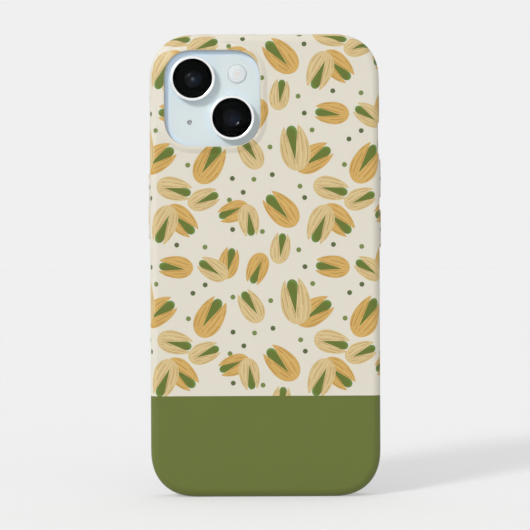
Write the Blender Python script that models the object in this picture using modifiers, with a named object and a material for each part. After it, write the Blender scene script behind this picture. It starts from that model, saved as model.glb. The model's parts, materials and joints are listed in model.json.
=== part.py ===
"""A smartphone in a printed hard case, standing on its bottom edge.

The shapes are laid out with the phone on its face: X runs to the side with the volume
buttons, Y to the top edge and Z from the screen to the back, from the case's front lip.
An empty then stands them all up: the top edge points to +Z and the printed back to -Y,
and the origin is under the middle of the whole, on the surface that it stands on.
"""

import math

import bmesh
import bpy
from mathutils import Matrix

MM = 0.001

# Driving dimensions.
PHONE_WIDTH = 71.6 * MM
PHONE_LENGTH = 147.6 * MM
PHONE_DEPTH = 7.8 * MM
PHONE_CORNER = 12.4 * MM
CASE_WALL = 1.4 * MM
CASE_BACK = 1.6 * MM
CLEARANCE = 0.3 * MM
LIP_HEIGHT = 0.9 * MM
LIP_OVERLAP = 1.0 * MM
BOND = 0.15 * MM
OVERSHOOT = 1.0 * MM

# Levels, counted up from the surface.
FRONT = LIP_HEIGHT
BACK = FRONT + PHONE_DEPTH
CASE_TOP = BACK + CLEARANCE + CASE_BACK
MIDDLE = FRONT + PHONE_DEPTH / 2
SCREEN = (FRONT, FRONT + 0.75 * MM)
PANEL = (SCREEN[1] + BOND, SCREEN[1] + 0.95 * MM)
PANEL_PLATE = (PANEL[1] + BOND, PANEL[1] + 0.4 * MM)
PARTS_LOW = 3.25 * MM
PARTS_HIGH = 6.35 * MM
MODULE_BACK = 7.6 * MM
WEB = (6.55 * MM, 7.15 * MM)
COIL = (7.30 * MM, 7.65 * MM)
BACK_GLASS = (7.90 * MM, BACK)

# Outlines of the phone, as insets from its side faces.
RIM = 1.2 * MM
GLASS_INSET = RIM + BOND
SIDE_WALL = 2.2 * MM

# Halves of the phone and of the case.
HALF_X = PHONE_WIDTH / 2
HALF_Y = PHONE_LENGTH / 2
CASE_X = HALF_X + CLEARANCE + CASE_WALL
CASE_Y = HALF_Y + CLEARANCE + CASE_WALL
CASE_CORNER = 13.9 * MM
CASE_BACK_EDGE = 2.8 * MM
CASE_FRONT_EDGE = 0.9 * MM
CAVITY_EDGE = 1.0 * MM
FRAME_EDGE = 1.1 * MM
LIP_GAP = 0.25 * MM
RECESS_GAP = 0.1 * MM

# Camera island.
ISLAND_X = -CASE_X + 20.6 * MM
ISLAND_Y = CASE_Y - 21.1 * MM
ISLAND_SIZE = 30.6 * MM
ISLAND_CORNER = 8.3 * MM
ISLAND_TOP = BACK + 0.8 * MM
ISLAND_EDGE = 0.5 * MM
GLASS_EDGE = 0.25 * MM
CAMERA_HOLE = 27.4 * MM
CAMERA_BLOCK = 12.6 * MM
LENS_OFFSET = 6.4 * MM
LENS_HOLE = 6.8 * MM
RING_TOP = BACK + 3.5 * MM
FLASH_OFFSET = (8.1 * MM, 8.0 * MM)
FLASH_RADIUS = 2.95 * MM
MICROPHONE_OFFSET = (-7.45 * MM, -7.8 * MM)
WINDOW_SIZE = 31.2 * MM
WINDOW_CORNER = 8.6 * MM
WINDOW_RIM = 2.0 * MM
WINDOW_RIM_HEIGHT = 0.7 * MM
WINDOW_RIM_EDGE = 0.6 * MM
MICROPHONE_HOLE = 0.8 * MM
MICROPHONE_SIZE = 3.0 * MM
FLASH_LAMP_RADIUS = 2.3 * MM

# Profiles of turned shapes, in millimetres: (radius, level) for the camera eye, and
# (share of the radius, height over the island) for the flash's dome.
EYE_PROFILE = ((0.0, 10.2), (1.2, 10.12), (2.2, 9.9), (4.2, 10.8), (5.6, 10.8), (5.6, 7.0), (0.0, 7.0))
DOME_PROFILE = ((0.0, 0.3), (0.5, 0.22), (0.82, 0.05), (1.0, -0.2), (1.0, -0.6), (0.0, -0.6))
RING_SEAT = 11.0 * MM
RING_FOOT = 8.9 * MM
LENS_GLASS_RADIUS = 6.3 * MM

# Side controls: where each one sits along the side, and the length of its cover.
SIDE_BUTTON = (19.5 * MM, 21.6 * MM)
VOLUME_UP = (28.4 * MM, 12.8 * MM)
VOLUME_DOWN = (12.0 * MM, 12.8 * MM)
COVER_HEIGHT = 4.4 * MM
COVER_PROUD = 0.5 * MM
COVER_LIP = 0.65 * MM
COVER_LIP_DEPTH = 0.4 * MM
COVER_EDGE = 0.4 * MM
COVER_GAP = 0.2 * MM
POCKET_DEPTH = 1.2 * MM
BUTTON_SHORTER = 3.0 * MM
BUTTON_HEIGHT = 2.8 * MM
BUTTON_PROUD = 0.35 * MM
BUTTON_TRAVEL = 0.25 * MM
BUTTON_EDGE = 0.25 * MM
PLATE_DEPTH = 0.4 * MM
PLATE_GAP = 0.3 * MM
PLATE_OVER = 1.2 * MM
PLATE_JOIN = 0.05 * MM
SLOT_GAP = 0.4 * MM
STRIP_GAP = 0.2 * MM
STRIP_DEPTH = 0.8 * MM
STRIP_HEIGHT = 2.6 * MM
PLATE_FACE = HALF_X - SIDE_WALL - PLATE_GAP
PLATE_BACK = PLATE_FACE - PLATE_DEPTH
SWITCH_Y = 41.3 * MM
SWITCH_HEIGHT = 2.1 * MM
SWITCH_TRAVEL = 0.9 * MM
SWITCH_LENGTH = 5.3 * MM
SWITCH_PLATE_LENGTH = 6.7 * MM
SWITCH_PROUD = 0.8 * MM
SWITCH_CORNER = 0.7 * MM
SWITCH_SLOT_LENGTH = 5.9 * MM
NOTCH_LENGTH = 10.8 * MM
NOTCH_LEVELS = (2.0 * MM, CASE_TOP - 0.85 * MM)
NOTCH_CORNER = 1.8 * MM

# SIM tray, antenna bands and front sensors.
TRAY_Y = -1.0 * MM
TRAY_LENGTH = 15.2 * MM
TRAY_HEIGHT = 2.0 * MM
TRAY_GAP = 0.3 * MM
CARD_LENGTH = 12.3 * MM
CARD_WIDTH = 8.8 * MM
CARD_DEPTH = 0.67 * MM
CARD_X = 23.4 * MM
CARRIER_X = 22.6 * MM
CARRIER_LENGTH = 14.0 * MM
CARRIER_DEPTH = 1.2 * MM
CAGE_X = (21.6 * MM, 31.2 * MM)
CAGE_LENGTH = 16.0 * MM
CAGE_HIGH = 6.1 * MM
CAGE_ROOM_X = (22.1 * MM, 33.0 * MM)
CAGE_ROOM_LENGTH = 14.6 * MM
CAGE_ROOM_HIGH = 5.7 * MM
BAND_Y = 54.5 * MM
BAND_SIZE = (0.7 * MM, 0.9 * MM, 5.1 * MM)
BAND_GROOVE_SIZE = (0.9 * MM, 1.2 * MM, 5.4 * MM)
SENSOR_Y = 65.5 * MM
SENSOR_X = 5.8 * MM
SENSOR_SIZE = (6.0 * MM, 5.4 * MM)
SENSOR_LOW = 5.6 * MM
SENSOR_EYE = 1.6 * MM
SENSOR_HOLE = (20.6 * MM, 5.9 * MM)
EARPIECE_SLOT_LENGTH = 12.0 * MM
EARPIECE_MESH_LENGTH = 11.6 * MM
EARPIECE_INSET = 0.85 * MM

# Bottom edge.
SCREW_X = 10.4 * MM
FIRST_HOLE_X = 14.8 * MM
HOLE_PITCH = 2.5 * MM
HOLE_COUNT = 5
HOLE_RADIUS = 0.75 * MM
HOLES_X = FIRST_HOLE_X + HOLE_PITCH * (HOLE_COUNT - 1) / 2
SCREW_HOLE_RADIUS = 1.0 * MM
SCREW_HEAD_RADIUS = 0.8 * MM
SCREW_SHANK_RADIUS = 0.5 * MM
SCREW_SOCKET_RADIUS = 0.38 * MM
SCREW_LENGTH = 4.6 * MM
PORT_WIDTH = 8.94 * MM
PORT_HEIGHT = 3.16 * MM
PORT_DEPTH = 7.2 * MM
PORT_ROOM = (8.34 * MM, 2.56 * MM)
TONGUE_WIDTH = 6.7 * MM
TONGUE_DEPTH = 0.7 * MM
MESH_LENGTH = 12.4 * MM
MESH_HEIGHT = 2.2 * MM
PORT_WINDOW = (13.4 * MM, 6.4 * MM)
GRILLE_WINDOW = (14.6 * MM, 3.4 * MM)

# Charging coil and magnets.
COIL_CENTRE = (0.0, -2.0 * MM)
COIL_RADII = (9.0 * MM, 21.0 * MM)
MAGNET_RADII = (22.6 * MM, 27.0 * MM)
BAR_MAGNET_Y = -40.0 * MM
BAR_MAGNET_SIZE = (2.6 * MM, 11.0 * MM)

# How finely round shapes are cut into flats.
CORNER_STEPS = 8
EDGE_STEPS = 3
PILL_STEPS = 5
TURNED_STEPS = 32
COIL_STEPS = 40
SMOOTH_BELOW = 35.0

# The order in which a shape's own axes become X, Y and Z, for each way that its thickness can run.
AXIS_ORDER = {"X": (2, 0, 1), "Y": (1, 2, 0), "Z": (0, 1, 2)}

part_collection = None
cutter_collection = None


def clear_scene():
    for item in list(bpy.data.objects):
        bpy.data.objects.remove(item)


def add_collection(name):
    collection = bpy.data.collections.new(name)
    bpy.context.scene.collection.children.link(collection)
    return collection


def finish_of(name, colour, roughness, metallic=0.0):
    """A Principled material, made once for each name."""
    known = bpy.data.materials.get(name)
    if known:
        return known
    material = bpy.data.materials.new(name)
    material.use_nodes = True
    shader = material.node_tree.nodes["Principled BSDF"]
    shader.inputs["Base Color"].default_value = (*colour, 1.0)
    shader.inputs["Roughness"].default_value = roughness
    shader.inputs["Metallic"].default_value = metallic
    material.diffuse_color = (*colour, 1.0)
    return material


def cream_print():
    return finish_of("cream_print", (0.74, 0.69, 0.60), 0.5)


def pale_blue_glass():
    return finish_of("pale_blue_glass", (0.70, 0.78, 0.80), 0.3)


def pale_blue_metal():
    return finish_of("pale_blue_metal", (0.66, 0.73, 0.78), 0.35, 1.0)


def silver_metal():
    return finish_of("silver_metal", (0.85, 0.86, 0.87), 0.25, 1.0)


def black_glass():
    return finish_of("black_glass", (0.01, 0.01, 0.012), 0.05)


def black_plastic():
    return finish_of("black_plastic", (0.02, 0.02, 0.022), 0.5)


def white_plastic():
    return finish_of("white_plastic", (0.75, 0.78, 0.78), 0.4)


def board_green():
    return finish_of("board_green", (0.02, 0.10, 0.05), 0.5)


def steel():
    return finish_of("steel", (0.55, 0.55, 0.56), 0.35, 1.0)


def copper():
    return finish_of("copper", (0.70, 0.33, 0.17), 0.35, 1.0)


def around(middle, width):
    return (middle - width / 2, middle + width / 2)


def add_mesh_object(name, shape, material):
    mesh = bpy.data.meshes.new(name)
    shape.to_mesh(mesh)
    shape.free()
    item = bpy.data.objects.new(name, mesh)
    part_collection.objects.link(item)
    if material:
        mesh.materials.append(material)
    return item


def turn_to(item, axis, centre):
    """Puts a shape whose thickness runs along its own Z where that thickness runs along the given axis."""
    order = AXIS_ORDER[axis]
    turn = Matrix([[1.0 if own == order[row] else 0.0 for own in range(3)] for row in range(3)])
    item.rotation_euler = turn.to_euler()
    item.location = centre


def is_upright(edge):
    first, second = (vertex.co for vertex in edge.verts)
    return abs(first.x - second.x) + abs(first.y - second.y) < 1e-9


def slab(name, xs, ys, zs, corner=0.0, axis="Z", edges=(0.0, 0.0), steps=CORNER_STEPS, material=None):
    """A block between two values on each axis. Its corners are round seen along `axis`,
    and its low and high faces there have edges rounded by the two radii in `edges`."""
    spans = (xs, ys, zs)
    sizes = [high - low for low, high in spans]
    own_sizes = [sizes[AXIS_ORDER[axis].index(own)] for own in range(3)]
    shape = bmesh.new()
    bmesh.ops.create_cube(shape, size=1.0, matrix=Matrix.Diagonal((*own_sizes, 1.0)))
    if corner:
        corner = min(corner, 0.4999 * min(own_sizes[:2]))
        uprights = [edge for edge in shape.edges if is_upright(edge)]
        bmesh.ops.bevel(shape, geom=uprights, offset=corner, segments=steps, profile=0.5,
                        affect="EDGES", clamp_overlap=False)
        bmesh.ops.remove_doubles(shape, verts=shape.verts, dist=2e-6)
    for level, radius in zip((-own_sizes[2] / 2, own_sizes[2] / 2), edges):
        if radius:
            loop = [e for e in shape.edges if all(abs(v.co.z - level) < 1e-8 for v in e.verts)]
            bmesh.ops.bevel(shape, geom=loop, offset=radius, segments=EDGE_STEPS, profile=0.5,
                            affect="EDGES", clamp_overlap=False)
    item = add_mesh_object(name, shape, material)
    turn_to(item, axis, [sum(span) / 2 for span in spans])
    return item


def pill(name, xs, ys, zs, axis, edges=(0.0, 0.0), material=None):
    """A slab whose ends are fully round seen along `axis`."""
    return slab(name, xs, ys, zs, corner=1.0, axis=axis, edges=edges, steps=PILL_STEPS, material=material)


def rod(name, radius, centre, span, axis="Z", sides=16, material=None):
    """A cylinder. `centre` holds the two coordinates across the axis, in X, Y, Z order."""
    shape = bmesh.new()
    bmesh.ops.create_cone(shape, cap_ends=True, segments=sides, radius1=radius, radius2=radius,
                          depth=span[1] - span[0])
    item = add_mesh_object(name, shape, material)
    place = list(centre)
    place.insert("XYZ".index(axis), sum(span) / 2)
    turn_to(item, axis, place)
    return item


def turned(name, profile, centre, closed, material=None, steps=TURNED_STEPS):
    """A shape turned about Z from (radius, height) points that run down its outer side."""
    mesh = bpy.data.meshes.new(name)
    links = [(i, i + 1) for i in range(len(profile) - 1)]
    if closed:
        links.append((len(profile) - 1, 0))
    mesh.from_pydata([(radius, 0.0, height) for radius, height in profile], links, [])
    item = bpy.data.objects.new(name, mesh)
    part_collection.objects.link(item)
    item.location = (*centre, 0.0)
    if material:
        mesh.materials.append(material)
    screw = item.modifiers.new("turn", "SCREW")
    screw.steps = screw.render_steps = steps
    screw.use_merge_vertices = True
    screw.merge_threshold = 1e-6
    return item


def combine(target, operation, *others):
    """Cuts the others from the target, or joins them to it. They become hidden helpers."""
    for other in others:
        part_collection.objects.unlink(other)
        cutter_collection.objects.link(other)
        other.hide_render = True
        other.display_type = "WIRE"
        step = target.modifiers.new(other.name, "BOOLEAN")
        step.operation = operation
        step.object = other


def cut(target, *cutters):
    combine(target, "DIFFERENCE", *cutters)


def join(target, *additions):
    combine(target, "UNION", *additions)


def outline(inset):
    """The phone's extent in X and Y, taken in by an inset, and its corner radius there."""
    return (-HALF_X + inset, HALF_X - inset), (-HALF_Y + inset, HALF_Y - inset), PHONE_CORNER - inset


def outline_slab(name, inset, zs, edges=(0.0, 0.0), material=None):
    xs, ys, corner = outline(inset)
    return slab(name, xs, ys, zs, corner, edges=edges, material=material)


# ---------------------------------------------------------------- case


def control_spans(side, low, high):
    """X values between two distances from the middle, on the side with the given sign."""
    return tuple(sorted((side * low, side * high)))


def cover_pockets(side, place, length):
    """The slot in the case wall for a button cover, and the pocket behind it for the cover's lip."""
    slot = pill("cover_slot", control_spans(side, HALF_X, CASE_X + OVERSHOOT),
                around(place, length + 2 * CLEARANCE), around(MIDDLE, COVER_HEIGHT + 2 * CLEARANCE), "X")
    lip = COVER_LIP + CLEARANCE
    pocket = pill("cover_pocket", control_spans(side, HALF_X, HALF_X + POCKET_DEPTH),
                  around(place, length + 2 * lip), around(MIDDLE, COVER_HEIGHT + 2 * lip), "X")
    return slot, pocket


def make_case():
    shell = slab("case_shell", (-CASE_X, CASE_X), (-CASE_Y, CASE_Y), (0.0, CASE_TOP), CASE_CORNER,
                 edges=(CASE_FRONT_EDGE, CASE_BACK_EDGE), material=cream_print())
    rim_size = WINDOW_SIZE + 2 * WINDOW_RIM
    rim = slab("window_rim", around(ISLAND_X, rim_size), around(ISLAND_Y, rim_size),
               (CASE_TOP - CASE_BACK / 2, CASE_TOP + WINDOW_RIM_HEIGHT), WINDOW_CORNER + WINDOW_RIM,
               edges=(0.0, WINDOW_RIM_EDGE))
    join(shell, rim)
    cavity = outline_slab("case_cavity", -CLEARANCE, (FRONT - LIP_GAP, BACK + CLEARANCE),
                          edges=(0.0, CAVITY_EDGE))
    mouth = outline_slab("case_mouth", LIP_OVERLAP, (-OVERSHOOT, FRONT))
    window = slab("camera_window", around(ISLAND_X, WINDOW_SIZE), around(ISLAND_Y, WINDOW_SIZE),
                  (BACK, CASE_TOP + WINDOW_RIM_HEIGHT + OVERSHOOT), WINDOW_CORNER)
    cut(shell, cavity, mouth, window)
    for side, (place, length) in ((-1, SIDE_BUTTON), (1, VOLUME_UP), (1, VOLUME_DOWN)):
        cut(shell, *cover_pockets(side, place, length))
    notch = slab("switch_notch", (HALF_X, CASE_X + OVERSHOOT), around(SWITCH_Y, NOTCH_LENGTH),
                 NOTCH_LEVELS, NOTCH_CORNER, axis="X", steps=4)
    cut(shell, notch)
    for name, middle, (length, height) in (("port_window", 0.0, PORT_WINDOW),
                                           ("left_grille_window", -HOLES_X, GRILLE_WINDOW),
                                           ("right_grille_window", HOLES_X, GRILLE_WINDOW)):
        cut(shell, pill(name, around(middle, length), (-CASE_Y - OVERSHOOT, -HALF_Y),
                        around(MIDDLE, height), "Y"))


def make_cover(name, side, place, length):
    """A button cover: a round-ended pad that stands proud of the case, with a lip behind the wall."""
    outer = CASE_X + COVER_PROUD
    inner = HALF_X + BUTTON_PROUD + COVER_GAP
    rounding = (COVER_EDGE, 0.0) if side < 0 else (0.0, COVER_EDGE)
    pad = pill(name, control_spans(side, inner, outer), around(place, length), around(MIDDLE, COVER_HEIGHT),
               "X", edges=rounding, material=cream_print())
    lip = pill(name + "_lip", control_spans(side, inner, inner + COVER_LIP_DEPTH),
               around(place, length + 2 * COVER_LIP), around(MIDDLE, COVER_HEIGHT + 2 * COVER_LIP), "X")
    join(pad, lip)


# ---------------------------------------------------------------- phone body


def make_frame():
    frame = outline_slab("frame", 0.0, (FRONT, BACK), edges=(FRAME_EDGE, FRAME_EDGE),
                         material=pale_blue_metal())
    screen_recess = outline_slab("screen_recess", RIM, (FRONT - OVERSHOOT, PANEL_PLATE[1] + RECESS_GAP))
    part_pocket = outline_slab("part_pocket", SIDE_WALL, (FRONT - OVERSHOOT, WEB[0]))
    coil_pocket = outline_slab("coil_pocket", SIDE_WALL, (WEB[1], BACK + OVERSHOOT))
    glass_recess = outline_slab("glass_recess", RIM, (BACK_GLASS[0] - RECESS_GAP, BACK + OVERSHOOT))
    camera_hole = slab("camera_hole", around(ISLAND_X, CAMERA_HOLE), around(ISLAND_Y, CAMERA_HOLE),
                       (WEB[0] - OVERSHOOT, WEB[1] + OVERSHOOT), 2 * MM, steps=3)
    cut(frame, screen_recess, part_pocket, coil_pocket, glass_recess, camera_hole)
    cut_side_slots(frame)
    cut_bottom_holes(frame)


def cut_side_slots(frame):
    through = (HALF_X - SIDE_WALL - OVERSHOOT, HALF_X + OVERSHOOT)
    for side, (place, length) in ((-1, SIDE_BUTTON), (1, VOLUME_UP), (1, VOLUME_DOWN)):
        cut(frame, pill("button_slot", control_spans(side, *through),
                        around(place, length - BUTTON_SHORTER + SLOT_GAP),
                        around(MIDDLE, BUTTON_HEIGHT + SLOT_GAP), "X"))
    switch_slot = slab("switch_slot", through, around(SWITCH_Y, SWITCH_SLOT_LENGTH),
                       around(MIDDLE, SWITCH_HEIGHT + SWITCH_TRAVEL + SLOT_GAP), 0.8 * MM, axis="X", steps=3)
    tray_slot = pill("tray_slot", through, around(TRAY_Y, TRAY_LENGTH + TRAY_GAP),
                     around(MIDDLE, TRAY_HEIGHT + TRAY_GAP), "X")
    cut(frame, switch_slot, tray_slot)
    depth, width, height = BAND_GROOVE_SIZE
    for side in (-1, 1):
        for end in (-1, 1):
            cut(frame, slab("band_groove", control_spans(side, HALF_X - depth, HALF_X + OVERSHOOT),
                            around(end * BAND_Y, width), around(MIDDLE, height)))


def cut_bottom_holes(frame):
    through = (-HALF_Y - OVERSHOOT, -HALF_Y + SIDE_WALL + OVERSHOOT)
    cut(frame, pill("port_hole", around(0.0, PORT_WIDTH + SLOT_GAP), through,
                    around(MIDDLE, PORT_HEIGHT + SLOT_GAP), "Y"))
    for side in (-1, 1):
        cut(frame, rod("screw_hole", SCREW_HOLE_RADIUS, (side * SCREW_X, MIDDLE), through, "Y"))
        for number in range(HOLE_COUNT):
            place = side * (FIRST_HOLE_X + number * HOLE_PITCH)
            cut(frame, rod("sound_hole", HOLE_RADIUS, (place, MIDDLE), through, "Y", sides=12))


def make_antenna_bands():
    depth, width, height = BAND_SIZE
    for side, side_name in ((-1, "left"), (1, "right")):
        for end, end_name in ((-1, "bottom"), (1, "top")):
            slab(f"antenna_band_{end_name}_{side_name}", control_spans(side, HALF_X - depth, HALF_X),
                 around(end * BAND_Y, width), around(MIDDLE, height), material=white_plastic())


def make_screen():
    glass = outline_slab("cover_glass", GLASS_INSET, SCREEN, edges=(GLASS_EDGE, 0.0), material=black_glass())
    slot_y = HALF_Y - GLASS_INSET - EARPIECE_INSET
    through = (SCREEN[0] - OVERSHOOT, SCREEN[1] + OVERSHOOT)
    cut(glass, slab("earpiece_slot", around(0.0, EARPIECE_SLOT_LENGTH), (slot_y, HALF_Y), through, 0.2 * MM,
                    steps=2))
    slab("earpiece_mesh", around(0.0, EARPIECE_MESH_LENGTH), (slot_y + 0.2 * MM, slot_y + 0.7 * MM),
         (SCREEN[0] + 0.1 * MM, SCREEN[1]), material=steel())
    panel = outline_slab("display_panel", GLASS_INSET + 0.9 * MM, PANEL, material=black_plastic())
    plate = outline_slab("display_plate", GLASS_INSET + 2.2 * MM, PANEL_PLATE, material=steel())
    through = (PANEL[0] - OVERSHOOT, PANEL_PLATE[1] + OVERSHOOT)
    for layer in (panel, plate):
        cut(layer, pill("sensor_hole", around(0.0, SENSOR_HOLE[0]), around(SENSOR_Y, SENSOR_HOLE[1]),
                        through, "Z"))


def make_front_sensors():
    """The selfie camera and the face sensor, behind the screen's round-ended hole."""
    for name, place in (("front_camera", SENSOR_X), ("face_sensor", -SENSOR_X)):
        body = slab(name, around(place, SENSOR_SIZE[0]), around(SENSOR_Y, SENSOR_SIZE[1]),
                    (PANEL[0], SENSOR_LOW), 0.6 * MM, steps=2, material=black_plastic())
        cut(body, rod(name + "_eye", SENSOR_EYE, (place, SENSOR_Y),
                      (PANEL[0] - OVERSHOOT, PANEL[0] + 0.4 * MM)))


def island_point(right, up):
    return ISLAND_X + right, ISLAND_Y + up


UPPER_LENS = island_point(-LENS_OFFSET, LENS_OFFSET)
LOWER_LENS = island_point(LENS_OFFSET, -LENS_OFFSET)
FLASH = island_point(*FLASH_OFFSET)
MICROPHONE = island_point(*MICROPHONE_OFFSET)


def make_back_glass():
    glass = outline_slab("back_glass", GLASS_INSET, BACK_GLASS, edges=(0.0, GLASS_EDGE),
                         material=pale_blue_glass())
    island = slab("camera_island", around(ISLAND_X, ISLAND_SIZE), around(ISLAND_Y, ISLAND_SIZE),
                  (BACK - 0.4 * MM, ISLAND_TOP), ISLAND_CORNER, edges=(0.0, ISLAND_EDGE))
    join(glass, island)
    through = (BACK_GLASS[0] - OVERSHOOT, ISLAND_TOP + OVERSHOOT)
    for lens in (UPPER_LENS, LOWER_LENS):
        cut(glass, rod("lens_hole", LENS_HOLE, lens, through, sides=TURNED_STEPS))
    cut(glass, rod("flash_hole", FLASH_RADIUS + CLEARANCE, FLASH, through, sides=24))
    cut(glass, rod("microphone_hole", MICROPHONE_HOLE, MICROPHONE, through, sides=10))


def make_lens(position, centre):
    """One rear camera: its metal ring, the cover glass in the ring, and the camera module below."""
    flange = ISLAND_TOP + BOND
    ring = [(6.45, RING_SEAT), (6.45, RING_TOP - 0.2 * MM), (6.6, RING_TOP), (7.0, RING_TOP - 0.05 * MM),
            (7.3, RING_TOP - 0.3 * MM), (7.3, flange), (6.7, flange), (6.7, RING_FOOT), (5.9, RING_FOOT),
            (5.9, RING_SEAT)]
    turned(f"{position}_lens_ring", [(radius * MM, height) for radius, height in ring], centre, True,
           silver_metal())
    rod(f"{position}_lens_glass", LENS_GLASS_RADIUS, centre, (RING_SEAT + BOND, RING_TOP - 0.3 * MM),
        sides=TURNED_STEPS, material=black_glass())
    module = turned(f"{position}_camera_module", [(radius * MM, level * MM) for radius, level in EYE_PROFILE],
                    centre, False, black_plastic())
    join(module, slab(f"{position}_camera_block", around(centre[0], CAMERA_BLOCK),
                      around(centre[1], CAMERA_BLOCK), (PARTS_LOW, MODULE_BACK), 0.6 * MM, steps=2))


def make_flash_and_microphone():
    dome = [(share * FLASH_RADIUS, ISLAND_TOP + height * MM) for share, height in DOME_PROFILE]
    turned("flash_lens", dome, FLASH, False, white_plastic(), steps=24)
    rod("flash_lamp", FLASH_LAMP_RADIUS, FLASH, (7.3 * MM, ISLAND_TOP - 0.75 * MM), material=white_plastic())
    centre_x, centre_y = MICROPHONE
    slab("rear_microphone", around(centre_x, MICROPHONE_SIZE), around(centre_y, MICROPHONE_SIZE),
         (6.3 * MM, MODULE_BACK), material=steel())


# ---------------------------------------------------------------- side controls


def make_button(name, side, place, length):
    """A phone button: a round-ended key in the frame's slot, with a plate inside that keeps it in."""
    outer = HALF_X + BUTTON_PROUD
    length -= BUTTON_SHORTER
    rounding = (BUTTON_EDGE, 0.0) if side < 0 else (0.0, BUTTON_EDGE)
    key = pill(name, control_spans(side, PLATE_FACE, outer), around(place, length),
               around(MIDDLE, BUTTON_HEIGHT), "X", edges=rounding, material=pale_blue_metal())
    join(key, slab(name + "_plate", control_spans(side, PLATE_BACK, PLATE_FACE + PLATE_JOIN),
                   around(place, length + PLATE_OVER), around(MIDDLE, BUTTON_HEIGHT)))


def make_switch_strip(name, side, low, high):
    """The strip of switches that the buttons on one side press."""
    face = PLATE_BACK - BUTTON_TRAVEL - STRIP_GAP
    slab(name, control_spans(side, face - STRIP_DEPTH, face), (low, high), around(MIDDLE, STRIP_HEIGHT),
         material=black_plastic())


def make_ring_switch():
    """The ring and silent lever, which slides along Z in its slot, and its housing."""
    low = MIDDLE - (SWITCH_HEIGHT + SWITCH_TRAVEL) / 2
    heights = (low, low + SWITCH_HEIGHT)
    lever = slab("ring_switch", (PLATE_FACE, HALF_X + SWITCH_PROUD), around(SWITCH_Y, SWITCH_LENGTH), heights,
                 SWITCH_CORNER, axis="X", edges=(0.0, 0.3 * MM), steps=3, material=pale_blue_metal())
    join(lever, slab("ring_switch_plate", (PLATE_BACK, PLATE_FACE + PLATE_JOIN),
                     around(SWITCH_Y, SWITCH_PLATE_LENGTH), heights))
    slab("ring_switch_housing", (PLATE_FACE - 1.9 * MM, PLATE_FACE - 0.7 * MM), around(SWITCH_Y, 8 * MM),
         around(MIDDLE, 2.8 * MM), material=black_plastic())


# ---------------------------------------------------------------- SIM tray


def make_sim_tray():
    """The tray with its card, and the metal cage on the main board that they slide into."""
    face_back = HALF_X - SIDE_WALL + 0.3 * MM
    tray = pill("sim_tray", (face_back, HALF_X), around(TRAY_Y, TRAY_LENGTH), around(MIDDLE, TRAY_HEIGHT),
                "X", material=pale_blue_metal())
    carrier = slab("sim_carrier", (CARRIER_X, face_back + 0.2 * MM), around(TRAY_Y, CARRIER_LENGTH),
                   around(MIDDLE, CARRIER_DEPTH), 0.6 * MM, steps=2)
    card_low = MIDDLE - 0.15 * MM
    card_x = (CARD_X, CARD_X + CARD_WIDTH)
    recess = slab("card_recess", (card_x[0] - BOND, card_x[1] + BOND), around(TRAY_Y, CARD_LENGTH + 2 * BOND),
                  (card_low - BOND, MIDDLE + OVERSHOOT))
    join(tray, carrier)
    cut(tray, recess)
    slab("sim_card", card_x, around(TRAY_Y, CARD_LENGTH), (card_low, card_low + CARD_DEPTH), 0.6 * MM,
         steps=2, material=white_plastic())
    cage = slab("sim_cage", CAGE_X, around(TRAY_Y, CAGE_LENGTH), (MIDDLE - 0.55 * MM, CAGE_HIGH),
                material=steel())
    cut(cage, slab("cage_room", CAGE_ROOM_X, around(TRAY_Y, CAGE_ROOM_LENGTH), (0.0, CAGE_ROOM_HIGH)))


# ---------------------------------------------------------------- bottom edge


def make_charging_port():
    """The charging socket's metal shell, closed at its inner end, and the tongue inside it."""
    mouth = -HALF_Y + 0.2 * MM
    inner_end = mouth + PORT_DEPTH
    shell = pill("charging_port", around(0.0, PORT_WIDTH), (mouth, inner_end),
                 around(MIDDLE, PORT_HEIGHT), "Y", material=silver_metal())
    cut(shell, pill("port_room", around(0.0, PORT_ROOM[0]), (mouth - OVERSHOOT, inner_end - 0.5 * MM),
                    around(MIDDLE, PORT_ROOM[1]), "Y"))
    slab("charging_tongue", around(0.0, TONGUE_WIDTH), (mouth + 1.3 * MM, inner_end - 0.7 * MM),
         around(MIDDLE, TONGUE_DEPTH), 0.3 * MM, steps=2, material=black_plastic())


def make_bottom_screws():
    head = -HALF_Y + BOND
    shank = head + 1.0 * MM
    for side, name in ((-1, "left"), (1, "right")):
        centre = (side * SCREW_X, MIDDLE)
        screw = rod(f"bottom_screw_{name}", SCREW_SHANK_RADIUS, centre, (shank, head + SCREW_LENGTH), "Y",
                    sides=10, material=silver_metal())
        join(screw, rod("screw_head", SCREW_HEAD_RADIUS, centre, (head, shank + 0.1 * MM), "Y"))
        cut(screw, rod("screw_socket", SCREW_SOCKET_RADIUS, centre, (head - OVERSHOOT, head + 0.5 * MM), "Y",
                       sides=5))


def make_sound_meshes():
    face = -HALF_Y + SIDE_WALL + 0.45 * MM
    for side, name in ((-1, "microphone_mesh"), (1, "speaker_mesh")):
        pill(name, around(side * HOLES_X, MESH_LENGTH), (face, face + 0.2 * MM),
             around(MIDDLE, MESH_HEIGHT), "Y", material=steel())


# ---------------------------------------------------------------- inside


def component(name, xs, ys, material, zs=(PARTS_LOW, PARTS_HIGH), corner=0.8 * MM, edges=(0.0, 0.0)):
    """A block among the parts between the screen and the frame's web, with sizes in millimetres."""
    return slab(name, [x * MM for x in xs], [y * MM for y in ys], zs, corner, edges=edges, steps=2,
                material=material)


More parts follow.
